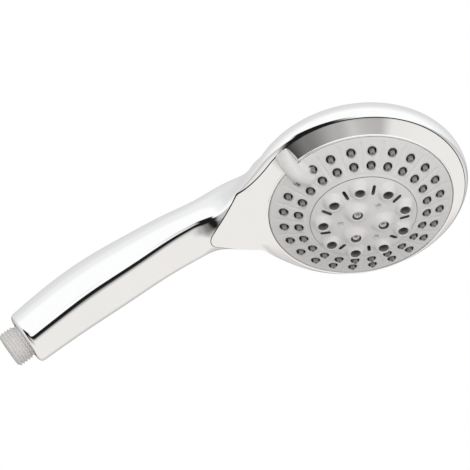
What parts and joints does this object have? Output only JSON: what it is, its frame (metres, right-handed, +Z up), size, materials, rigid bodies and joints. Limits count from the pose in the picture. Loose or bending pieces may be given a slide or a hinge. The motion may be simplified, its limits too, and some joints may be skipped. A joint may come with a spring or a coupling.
{
  "type": "handheld shower head",
  "caption": "Handheld shower head: chrome handle and rear shell, tear-drop front cover, domed spray face that a lever turns, threaded inlet.",
  "frame": {"origin": "centre of the inlet's end face", "axes": "+Z up the handle along the inlet axis, the head sprays towards -Y, X is across the head"},
  "size_m": [0.1214, 0.1095, 0.2623],
  "materials": {
    "chrome": "bright chrome plating on ABS",
    "face": "satin moulded warm grey plastic",
    "nozzle_rubber": "soft matt moulded rubber",
    "inlet": "moulded light grey plastic",
    "engine": "natural moulded acetal",
    "steel": "stainless steel",
    "seal_rubber": "black moulded rubber"
  },
  "bodies": {
    "handset": {"rear_shell": "chrome", "front_cover": "chrome", "pivot_screw": "steel", "pivot_washer": "steel", "pivot_seal": "seal_rubber", "engine_cover": "engine", "engine_body": "engine", "engine_screws": "steel", "seal_spring": "steel", "detent_spring": "steel", "water_tube": "engine", "tube_seals": "seal_rubber", "inlet_nipple": "inlet", "nipple_seal": "seal_rubber", "nipple_clip": "steel", "flow_restrictor": "engine", "inlet_screen": "steel"},
    "spray_head": {"spray_face": "face", "selector_lever": "face", "nozzle_mat": "nozzle_rubber", "centre_disc": "face", "jet_inserts": "face", "massage_nozzles": "face", "turbine_plate": "engine", "turbine_axle": "steel", "port_plate": "engine"},
    "turbine": {"massage_turbine": "engine"},
    "seal": {"seal_cup": "seal_rubber"},
    "ball": {"detent_ball": "steel"}
  },
  "joints": [
    {"name": "selector_turn", "type": "hinge", "parent": "handset", "child": "spray_head", "pos_m": [0, -0.0651, 0.2007], "axis": [0, -0.9041, -0.4274], "range_deg": [0, 120]},
    {"name": "turbine_spin", "type": "hinge", "parent": "spray_head", "child": "turbine", "pos_m": [0, -0.0651, 0.2007], "axis": [0, -0.9041, -0.4274], "continuous": true},
    {"name": "seal_press", "type": "slide", "parent": "handset", "child": "seal", "axis": [0, -0.9041, -0.4274], "range_m": [-0.0004, 0], "stiffness_N_per_m": 500},
    {"name": "ball_click", "type": "slide", "parent": "handset", "child": "ball", "axis": [0, -0.9041, -0.4274], "range_m": [0, 0.0006], "stiffness_N_per_m": 500}
  ]
}
